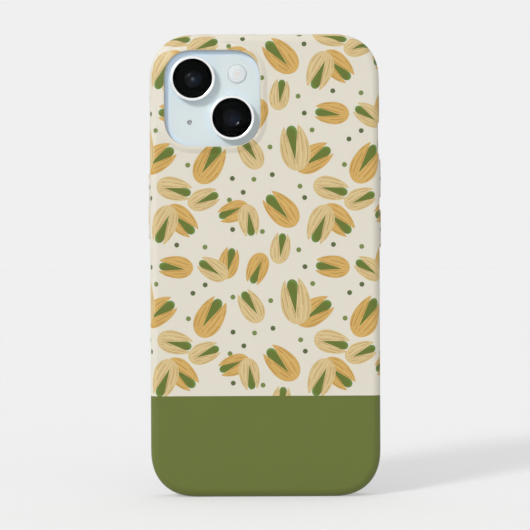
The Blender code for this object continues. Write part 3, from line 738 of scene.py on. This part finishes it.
def lens_material(name, centre, glint_strength):
    """A dark lens element with a blue coating, a painted pale glint at its middle and a painted blue
    reflection beside it.
    """
    material, shader = new_material(name, IOR=1.16)
    place = shader.place()
    cloud = shader.noise(place, 500.0)
    x, _, z = shader.split(place)
    across, up = x - centre.x, z - centre.z
    from_centre = shader.length(across, up)
    # Painted reflection: a deeper blue patch to one side of the middle, as the coating's reflection.
    from_reflection = shader.length(across - 0.9 * MM, up + 0.5 * MM)
    deep = shader.mix_colour(cloud, (0.0015, 0.0025, 0.004), (0.003, 0.004, 0.007))
    painted_reflection = (1.0 - from_reflection / (2.0 * MM)).at_least(0.0)
    with_reflection = shader.mix_colour(painted_reflection, deep, (0.004, 0.009, 0.028))
    speckle = shader.noise(place, 2600.0, 3.0)
    # Painted glint: a pale speckled spot at the lens's middle.
    painted_glint = (1.0 - from_centre / (0.75 * MM)).at_least(0.0) * (speckle + 0.4).at_most(1.0) * glint_strength
    shader.paint(Base_Color=shader.mix_colour(painted_glint, with_reflection, (0.16, 0.17, 0.165)))
    shader.paint(Roughness=0.06 + cloud * 0.03)
    return material


def flash_material():
    """Milky moulded lens over a lamp, with fine rings and a warmer middle."""
    material, shader = new_material("flash_lens", Specular_IOR_Level=0.3)
    place = shader.place()
    radius = shader.radius(place, FLASH) / MM
    ring = (radius * 5.2).sine() * 0.5 + 0.5
    cloud = shader.noise(place, 900.0)
    milky = shader.mix_colour(ring * 0.7 + cloud * 0.2, seen(233, 238, 239), seen(219, 226, 229))
    warm = (1.0 - radius * 0.75).at_least(0.0)
    shader.paint(Base_Color=shader.mix_colour(warm, milky, seen(234, 222, 214)))
    shader.paint(Roughness=0.28 + ring * 0.12)
    shader.paint(Normal=shader.bump(ring, 0.3, 0.00006))
    return material


# ---------------------------------------------------------------- shapes


def outline(centre, half, corner, power=2.0, steps=12):
    """A rectangle with rounded corners, as points round it. A power over 2 eases into each corner."""
    points = []
    corner = min(corner, 0.9999 * half[0], 0.9999 * half[1])
    for turn, (side_a, side_b) in enumerate(((1, 1), (-1, 1), (-1, -1), (1, -1))):
        for step in range(steps + 1):
            angle = math.radians(90) * (turn + step / steps)
            reach_a = abs(math.cos(angle)) ** (2 / power)
            reach_b = abs(math.sin(angle)) ** (2 / power)
            points.append((centre[0] + side_a * (half[0] - corner + corner * reach_a),
                           centre[1] + side_b * (half[1] - corner + corner * reach_b)))
    return points


# Where two coordinates across an axis and a level along it go in X, Y and Z.
AXES = {"X": lambda a, b, level: (level, a, b), "Y": lambda a, b, level: (a, level, b),
        "Z": lambda a, b, level: (a, b, level)}


def loft(name, axis, centre, half, corner, levels, power=2.0, steps=12, material=None):
    """A closed shape through rounded rectangles, one for each (level, inset) along the axis."""
    shape = bmesh.new()
    rings = []
    for level, inset in levels:
        size = (half[0] - inset, half[1] - inset)
        points = outline(centre, size, corner - inset, power, steps)
        rings.append([shape.verts.new(AXES[axis](a, b, level)) for a, b in points])
    for lower, upper in zip(rings, rings[1:]):
        for i, (first, second) in enumerate(zip(lower, upper)):
            j = (i + 1) % len(lower)
            shape.faces.new((first, lower[j], upper[j], second))
    shape.faces.new(rings[0])
    shape.faces.new(rings[-1])
    bmesh.ops.remove_doubles(shape, verts=shape.verts, dist=1e-7)
    bmesh.ops.recalc_face_normals(shape, faces=shape.faces)
    return new_piece(name, shape, material)


def new_piece(name, shape, material):
    mesh = bpy.data.meshes.new(name)
    shape.to_mesh(mesh)
    shape.free()
    piece = bpy.data.objects.new(name, mesh)
    bpy.context.scene.collection.objects.link(piece)
    if material:
        mesh.materials.append(material)
    return piece


def turned(name, centre, profile, material, steps=96):
    """A closed shape turned round an axis along Y, from (radius, y) points."""
    shape = bmesh.new()
    rings = []
    for radius, y in profile:
        angles = [math.tau * step / steps for step in range(steps if radius > 0 else 1)]
        rings.append([shape.verts.new((centre.x + radius * math.cos(angle), y,
                                       centre.z - radius * math.sin(angle))) for angle in angles])
    for lower, upper in zip(rings, rings[1:] + rings[:1]):
        for step in range(steps):
            places = ((lower, step), (lower, step + 1), (upper, step + 1), (upper, step))
            corners = dict.fromkeys(ring[place % len(ring)] for ring, place in places)
            if len(corners) > 2:
                shape.faces.new(tuple(corners))
    bmesh.ops.recalc_face_normals(shape, faces=shape.faces)
    return new_piece(name, shape, material)


def rounding(level, inward, radius, steps=8, start=0.0):
    """(level, inset) pairs over a quarter round that ends at a level. `inward` is the side that it
    comes from, and `start` the inset that it starts at."""
    pairs = []
    for step in range(steps + 1):
        angle = math.radians(90) * step / steps
        pairs.append((level + inward * radius * (1 - math.sin(angle)),
                      start + radius * (1 - math.cos(angle))))
    return pairs


def flare(level, inward, radius, steps=5):
    """(level, inset) pairs of a cutter whose mouth widens by a quarter round up to a level."""
    return [(place, -inset) for place, inset in rounding(level, inward, radius, steps)]


def carve(target, others, operation="DIFFERENCE"):
    """Cuts the others from the target, or joins them to it, and removes them."""
    for other in others:
        step = target.modifiers.new(other.name, "BOOLEAN")
        step.operation = operation
        step.object = other
    bpy.context.view_layer.update()
    finished = target.evaluated_get(bpy.context.evaluated_depsgraph_get())
    mesh = bpy.data.meshes.new_from_object(finished)
    target.modifiers.clear()
    target.data = mesh
    for other in others:
        bpy.data.objects.remove(other)


def smooth(mesh):
    """Shades a mesh smooth, with sharp edges left crisp."""
    mesh.shade_smooth()
    mesh.set_sharp_from_angle(angle=math.radians(SMOOTH_BELOW))


def install(piece, body, slot, *nodes):
    """Shades a finished piece and puts it on its body, in place of the CAD nodes that it stands for."""
    smooth(piece.data)
    weighted = piece.modifiers.new("even_shading", "WEIGHTED_NORMAL")
    weighted.keep_sharp = True
    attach(piece, body)
    if nodes:
        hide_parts(*nodes)


# ---------------------------------------------------------------- pieces

ROOT = "phone_in_case"


def phone_outline(inset=0.0):
    """Centre, half size and corner radius of the phone seen from behind."""
    half_z = (PHONE_HIGH.z - PHONE_LOW.z) / 2
    return (0.0, MIDDLE_Z), (HALF_PHONE - inset, half_z - inset), PHONE_CORNER - inset


def from_the_side(node):
    """The corners of a CAD node's box, and its centre and half size in Y and Z."""
    low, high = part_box(node)
    centre = ((low.y + high.y) / 2, (low.z + high.z) / 2)
    return low, high, centre, ((high.y - low.y) / 2, (high.z - low.z) / 2)


def cover_cuts(node):
    """The slot and the pocket in the case wall for one button cover."""
    low, _, centre, half = from_the_side(node)
    side = 1 if low.x > 0 else -1
    slot_half = [size - COVER_LIP + CLEARANCE for size in half]
    pocket_half = [size + CLEARANCE for size in half]
    inside, outside = side * HALF_PHONE, side * (HALF_CASE + OVERSHOOT)
    slot = loft("slot", "X", centre, slot_half, slot_half[0],
                [(inside, 0.0), *flare(side * HALF_CASE, -side, SLOT_EDGE), (outside, -SLOT_EDGE)])
    pocket = loft("pocket", "X", centre, pocket_half, pocket_half[0],
                  [(inside, 0.0), (inside + side * POCKET_DEPTH, 0.0)])
    return slot, pocket


def make_rim():
    """The raised rim round the camera window, with a soft slope outside."""
    rim_half = WINDOW_HALF + RIM_WIDTH
    slope = [(CASE_BACK + JOIN_DEPTH, 0.0)]
    for step in range(RIM_STEPS + 1):
        share = step / RIM_STEPS
        rise = RIM_HEIGHT * math.sin(math.radians(90) * share) ** RIM_EASING
        slope.append((CASE_BACK + RIM_TOE - rise, RIM_FOOT + share * (RIM_WIDTH - RIM_LAND - RIM_FOOT)))
    return loft("rim", "Y", (ISLAND.x, ISLAND.z), (rim_half, rim_half),
                (WINDOW_CORNER + RIM_WIDTH) * CORNER_EASING, slope, SOFT_CORNER, 14)


def case_cutters():
    """Everything that is cut from the case: the phone's room, the windows, the notch and the slots."""
    centre, size, corner = phone_outline(-CLEARANCE)
    cavity = loft("cavity", "Y", centre, size, corner,
                  [(PHONE_HIGH.y + LIP_GAP, 0.0), *rounding(PHONE_BACK - CLEARANCE, 1, CAVITY_EDGE, 4)])
    centre, size, corner = phone_outline(LIP_OVERLAP)
    mouth = loft("mouth", "Y", centre, size, corner,
                 [(PHONE_HIGH.y - OVERSHOOT, 0.0), *flare(CASE_FRONT, -1, MOUTH_EDGE),
                  (CASE_FRONT + OVERSHOOT, -MOUTH_EDGE)])
    window = loft("window", "Y", (ISLAND.x, ISLAND.z), (WINDOW_HALF, WINDOW_HALF),
                  WINDOW_CORNER * CORNER_EASING,
                  [(PHONE_BACK, 0.0), *flare(CASE_LOW.y, 1, WINDOW_EDGE, 8),
                   (CASE_LOW.y - OVERSHOOT, -WINDOW_EDGE)], SOFT_CORNER, 20)
    notch = loft("notch", "X", (MIDDLE_Y - NOTCH_OFFSET, middle_of("ring_switch").z), NOTCH_HALF,
                 NOTCH_CORNER, [(HALF_PHONE, 0.0), *flare(HALF_CASE, -1, NOTCH_EDGE),
                                (HALF_CASE + OVERSHOOT, -NOTCH_EDGE)])
    cutters = [cavity, mouth, window, notch]
    for node in ("side_button_cover", "volume_up_cover", "volume_down_cover"):
        cutters.extend(cover_cuts(node))
    for x, half_x, half_y in BOTTOM_WINDOWS:
        cutters.append(loft("bottom_window", "Z", (x * MM, MIDDLE_Y), (half_x * MM, half_y * MM),
                            half_y * MM, [(-OVERSHOOT, -WINDOW_EDGE), *flare(0.0, 1, WINDOW_EDGE)[::-1],
                                          (PHONE_LOW.z + 0.1 * MM, 0.0)]))
    return cutters


def is_plain(face):
    """Whether a face of the case is bare plastic: its lining, the window's wall and the front lip."""
    place, out = face.center, face.normal
    from_island = place - ISLAND
    inward = out.x * place.x + out.z * (place.z - MIDDLE_Z) < -0.1 * MM
    lining = place.y > PHONE_BACK - CLEARANCE - 0.01 * MM and inward
    by_window = max(abs(from_island.x), abs(from_island.z)) < WINDOW_HALF + WINDOW_EDGE and out.y > -0.8
    window_wall = by_window and out.x * from_island.x + out.z * from_island.z < -1 * MM
    return lining or window_wall or out.y > 0.6


def make_case(material, plain):
    shell = loft("case_shell_fine", "Y", (0.0, MIDDLE_Z), (HALF_CASE, MIDDLE_Z), CASE_CORNER * CORNER_EASING,
                 [*rounding(CASE_FRONT, -1, FRONT_EDGE)[::-1], *rounding(CASE_BACK, 1, BACK_EDGE, 12)],
                 SOFT_CORNER, 20)
    carve(shell, [make_rim()], "UNION")
    carve(shell, case_cutters())
    shell.data.materials.clear()
    shell.data.materials.append(material)
    shell.data.materials.append(plain)
    for face in shell.data.polygons:
        face.material_index = int(is_plain(face))
    install(shell, ROOT, "printed_plastic", "case_shell")


def make_cover(node, body, material):
    """One button cover: a rounded pad with a thin lip behind the wall."""
    low, high, centre, half = from_the_side(node)
    side = 1 if low.x > 0 else -1
    inner, outer = (low.x, high.x) if side > 0 else (high.x, low.x)
    step = inner + side * LIP_DEPTH
    levels = [(inner, LIP_BEVEL), (inner + side * LIP_BEVEL, 0.0), (step, 0.0), (step, COVER_LIP)]
    levels += rounding(outer, -side, COVER_EDGE, 8, COVER_LIP)
    cover = loft(node + "_fine", "X", centre, half, half[0], levels, 2.0, 14, material)
    install(cover, body, "printed_plastic", node)


def make_back_glass(material):
    """The back glass and the camera island, which are one piece."""
    centre, size, corner = phone_outline(GLASS_INSET)
    sheet = loft("back_glass_fine", "Y", centre, size, corner,
                 [(GLASS_HIGH.y, 0.0), *rounding(PHONE_BACK, 1, GLASS_EDGE, 4)], material=material)
    island = loft("island", "Y", (ISLAND.x, ISLAND.z), (ISLAND_HALF, ISLAND_HALF),
                  ISLAND_CORNER * CORNER_EASING,
                  [(PHONE_BACK + JOIN_DEPTH, 0.0), *rounding(ISLAND_TOP, 1, ISLAND_EDGE, 4)],
                  SOFT_CORNER, 20)
    carve(sheet, [island], "UNION")
    holes = []
    for place, radius, edge in ((UPPER_LENS, LENS_HOLE, 0.1 * MM), (LOWER_LENS, LENS_HOLE, 0.1 * MM),
                                (FLASH, FLASH_HOLE, 0.2 * MM), (MICROPHONE, MICROPHONE_HOLE, 0.2 * MM)):
        holes.append(loft("hole", "Y", (place.x, place.z), (radius, radius), radius,
                          [(GLASS_HIGH.y + OVERSHOOT, 0.0), *flare(ISLAND_TOP, 1, edge),
                           (ISLAND_TOP - OVERSHOOT, -edge)], 2.0, 24))
    carve(sheet, holes)
    install(sheet, ROOT, "back_glass", "back_glass")


def make_lens_ring(position, metal, black):
    """A polished ring with a round outer edge and a black bore."""
    low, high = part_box(f"{position}_lens_ring")
    centre = (low + high) / 2
    top, seat, flange = low.y, high.y - RING_SEAT, ISLAND_TOP - BOND
    outer = high.x - centre.x
    ring = [(RING_BORE, seat), (RING_BORE, top + 0.16 * MM), (RING_BORE + 0.04 * MM, top + 0.06 * MM),
            (RING_BORE + 0.16 * MM, top)]
    for step in range(RING_STEPS + 1):
        angle = math.radians(90) * step / RING_STEPS
        ring.append((outer - RING_EDGE * (1 - math.sin(angle)), top + RING_EDGE * (1 - math.cos(angle))))
    ring += [(outer, flange), (RING_NECK, flange), (RING_NECK, high.y), (RING_FOOT, high.y),
             (RING_FOOT, seat)]
    piece = turned(f"{position}_lens_ring_fine", centre, ring, metal)
    piece.data.materials.append(black)
    for face in piece.data.polygons:
        away = math.hypot(face.center.x - centre.x, face.center.z - centre.z)
        face.material_index = int(away < RING_BORE + 0.01 * MM)
    install(piece, ROOT, "polished_aluminium", f"{position}_lens_ring")


def make_lens_glass(position, centre, glass):
    """The cover glass in the ring, with its outer edge bevelled."""
    low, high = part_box(f"{position}_lens_glass")
    radius = high.x - centre.x
    disc = [(0.0, high.y), (radius - 0.05 * MM, high.y), (radius, high.y - 0.05 * MM),
            (radius, low.y + 0.12 * MM), (radius - 0.12 * MM, low.y), (0.0, low.y)]
    piece = turned(f"{position}_lens_glass_fine", centre, disc, glass)
    install(piece, ROOT, "black_glass", f"{position}_lens_glass")


def make_barrel(position, centre, black):
    """The camera's stepped black barrel on the block of its works."""
    low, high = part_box(f"{position}_camera_module")
    mouth, floor = low.y, low.y + BARREL_DEPTH
    profile = [(radius * MM, mouth + depth * MM) for radius, depth in BARREL_STEPS]
    profile += [(BARREL_FLOOR_RADIUS, floor), (0.0, floor), (0.0, floor + 1.2 * MM),
                (BARREL_RADIUS, floor + 1.2 * MM)]
    piece = turned(f"{position}_camera_barrel", centre, profile, black)
    half = (high.x - low.x) / 2
    block = loft("block", "Y", (centre.x, centre.z), (half, half), 0.6 * MM,
                 [(floor + 1.0 * MM, 0.0), (high.y, 0.0)])
    carve(piece, [block], "UNION")
    install(piece, ROOT, "black_plastic", f"{position}_camera_module")


def make_lens_element(position, centre, lens, bulge):
    """The front lens in the barrel, which bulges where `bulge` is over 0 and dips where it is under."""
    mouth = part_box(f"{position}_camera_module")[0].y
    foot = mouth + BARREL_DEPTH - 0.05 * MM
    profile = []
    for step in range(LENS_STEPS + 1):
        share = step / LENS_STEPS
        depth = bulge * share ** 2 if bulge > 0 else -bulge * (1 - share ** 2)
        profile.append((LENS_RADIUS * share, mouth + LENS_SETBACK + depth))
    profile += [(LENS_RADIUS, foot), (0.0, foot)]
    install(turned(f"{position}_lens_element", centre, profile, lens), ROOT, "black_glass")


def make_camera(position, metal, glass, black, lens, bulge):
    """A rear camera: ring, cover glass, barrel and front lens."""
    centre = middle_of(f"{position}_lens_ring")
    make_lens_ring(position, metal, black)
    make_lens_glass(position, centre, glass)
    make_barrel(position, centre, black)
    make_lens_element(position, centre, lens, bulge)


def make_flash(material):
    """The flash window: a low dome with the fine rings of a moulded lens."""
    low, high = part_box("flash_lens")
    radius = high.x - FLASH.x
    top = low.y - FLASH_PROUD
    profile = [(0.0, top)]
    for step in range(1, FLASH_STEPS + 1):
        share = step / FLASH_STEPS
        ripple = FLASH_RIPPLE * (1 + math.cos(share * FLASH_RINGS * math.tau)) if share < 0.8 else 0.0
        profile.append((radius * share, top + FLASH_DROP * share ** 5 - ripple))
    profile += [(radius, high.y), (0.0, high.y)]
    piece = turned("flash_lens_fine", FLASH, profile, material, 64)
    install(piece, ROOT, "white_plastic", "flash_lens")


def make_screen(material):
    """The cover glass over the display, with the earpiece's slot in its top edge."""
    centre, size, corner = phone_outline(HALF_PHONE - SCREEN_HIGH.x)
    glass = loft("cover_glass_fine", "Y", centre, size, corner,
                 [(SCREEN_LOW.y, 0.0), *rounding(SCREEN_HIGH.y, -1, SCREEN_EDGE, 6)], 2.0, 20, material)
    slot_height = SCREEN_HIGH.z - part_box("earpiece_mesh")[0].z + EARPIECE_ROOM
    slot = loft("earpiece", "Y", (0.0, SCREEN_HIGH.z), (EARPIECE_HALF, slot_height), EARPIECE_CORNER,
                [(SCREEN_LOW.y - OVERSHOOT, 0.0), (SCREEN_HIGH.y + OVERSHOOT, 0.0)])
    carve(glass, [slot])
    install(glass, ROOT, "black_glass", "cover_glass")


def make_ring_switch(material):
    """The ring and silent lever: a rounded key with its plate behind the frame's wall."""
    low, high, centre, half = from_the_side("ring_switch")
    step = low.x + PLATE_DEPTH
    key = loft("ring_switch_fine", "X", centre, (half[0], half[1] - PLATE_OVER), SWITCH_CORNER,
               [(step - 0.05 * MM, 0.0), *rounding(high.x, -1, SWITCH_EDGE, 6)], material=material)
    plate = loft("plate", "X", centre, half, PLATE_CORNER, [(low.x, 0.0), (step, 0.0)], steps=3)
    carve(key, [plate], "UNION")
    install(key, "ring_lever", "blue_aluminium", "ring_switch")


def dress_nodes(materials):
    """Gives every CAD node that stays the material of its slot."""
    for entry in frame["record"]["subparts"]:
        item = frame["nodes"][entry["node"]]
        finish = "woven_steel" if "mesh" in entry["node"] else entry["material_slot"]
        item.data.materials.clear()
        item.data.materials.append(materials[finish])
        smooth(item.data)


# ---------------------------------------------------------------- stage


def make_floor():
    """A wide pale floor that glows a little, so that it stays as bright as the backdrop."""
    material, shader = new_material("pale_floor", Roughness=1.0, Specular_IOR_Level=0.0)
    place = shader.place()
    shade = shader.mix_colour(shader.noise(place, 3.0), [FLOOR_COLOUR - 0.001] * 3,
                              [FLOOR_COLOUR + 0.001] * 3)
    shader.paint(Base_Color=shade, Emission_Color=(1.0, 1.0, 1.0), Emission_Strength=FLOOR_GLOW)
    shape = bmesh.new()
    bmesh.ops.create_grid(shape, x_segments=1, y_segments=1, size=30.0)
    floor = new_piece("floor", shape, material)


def make_light():
    """An even white sky with a brighter patch, and a soft sun from the same side."""
    world = bpy.data.worlds.new("soft_white")
    bpy.context.scene.world = world
    world.use_nodes = True
    background = world.node_tree.nodes["Background"]
    background.inputs["Color"].default_value = (1.0, 1.0, 1.0, 1.0)
    shader = Shader(world.node_tree)
    towards = Field(shader, shader.node("ShaderNodeTexCoord").outputs["Generated"])
    aligned = shader.vector("DOT_PRODUCT", towards, tuple(SUN_FROM.normalized()), output="Value")
    half_angle = math.radians(CORE_ANGLE / 2)
    core = CORE_STRENGTH / (math.pi * math.sin(half_angle) ** 2)
    shader.put(background.inputs["Strength"], SKY + (aligned > math.cos(half_angle)) * core)
    lamp = bpy.data.lights.new("key", "SUN")
    lamp.energy = SUN_STRENGTH
    lamp.angle = math.radians(SUN_ANGLE)
    sun = bpy.data.objects.new("key", lamp)
    bpy.context.scene.collection.objects.link(sun)
    sun.rotation_euler = SUN_FROM.to_track_quat("Z", "Y").to_euler()
    sun.location = SUN_FROM


def make_camera_view():
    """The photo's view: straight at the printed back."""
    data = bpy.data.cameras.new("camera")
    data.sensor_width = SENSOR_WIDTH
    data.lens = SENSOR_WIDTH * (CAMERA_DISTANCE + CASE_BACK + BACK_EDGE) / VIEW_WIDTH
    data.clip_start = 0.01
    data.clip_end = 200.0
    camera = bpy.data.objects.new("camera", data)
    bpy.context.scene.collection.objects.link(camera)
    camera.location = (0.0, -CAMERA_DISTANCE, MIDDLE_Z + CAMERA_RISE)
    camera.rotation_euler = (math.radians(90), math.radians(CAMERA_ROLL), 0.0)
    bpy.context.scene.camera = camera


def main():
    bpy.context.scene.view_settings.view_transform = "Standard"
    make_camera_view()
    make_light()
    make_floor()
    coil = middle_of("charging_coil")
    materials = {
        "printed_plastic": print_material(),
        "plain_plastic": mottled("plain_plastic", CREAM, CREAM_SHADE, 90.0, 0.40, bump_scale=2600.0,
                                 Specular_IOR_Level=0.3),
        "back_glass": back_glass(),
        "black_glass": mottled("black_glass", (0.004, 0.004, 0.005), (0.007, 0.007, 0.009), 60.0, 0.04),
        "blue_aluminium": mottled("blue_aluminium", (0.60, 0.68, 0.74), (0.64, 0.72, 0.77), 120.0, 0.30, 1.0,
                                  bump_scale=9000.0, bump_strength=0.15),
        "polished_aluminium": turned_metal("polished_aluminium", UPPER_LENS),
        "white_plastic": mottled("white_plastic", (0.52, 0.55, 0.56), (0.56, 0.58, 0.59), 400.0, 0.30,
                                 bump_scale=4000.0),
        "barrel": mottled("lens_barrel", (0.0008, 0.0010, 0.0013), (0.0014, 0.0016, 0.0020), 900.0, 0.6,
                          bump_scale=5000.0, Specular_IOR_Level=0.0),
        "black_plastic": mottled("black_plastic", (0.012, 0.012, 0.013), (0.022, 0.022, 0.024), 300.0, 0.45,
                                 bump_scale=6000.0),
        "display": mottled("display", (0.006, 0.006, 0.008), (0.010, 0.010, 0.012), 200.0, 0.25),
        "steel": mottled("steel", (0.50, 0.50, 0.51), (0.60, 0.60, 0.61), 250.0, 0.28, 1.0,
                         bump_scale=5000.0),
        "woven_steel": woven_steel(),
        "copper": wound_copper(coil),
        "circuit_board": circuit_board(),
    }
    dress_nodes(materials)
    make_case(materials["printed_plastic"], materials["plain_plastic"])
    for node, body in (("side_button_cover", "side_key"), ("volume_up_cover", "volume_up_key"),
                       ("volume_down_cover", "volume_down_key")):
        make_cover(node, body, materials["printed_plastic"])
    make_back_glass(materials["back_glass"])
    glass = clear_glass()
    # The last number is the strength of each lens's painted glint: full in the upper lens, faint in the
    # lower.
    upper_lens = lens_material("upper_coated_lens", UPPER_LENS, 1.0)
    lower_lens = lens_material("lower_coated_lens", LOWER_LENS, 0.25)
    lower_metal = turned_metal("polished_aluminium_lower", LOWER_LENS)
    make_camera("upper", materials["polished_aluminium"], glass, materials["barrel"], upper_lens, UPPER_BULGE)
    make_camera("lower", lower_metal, glass, materials["barrel"], lower_lens, LOWER_BULGE)
    make_flash(flash_material())
    make_screen(screen_material())
    make_ring_switch(materials["blue_aluminium"])


main()
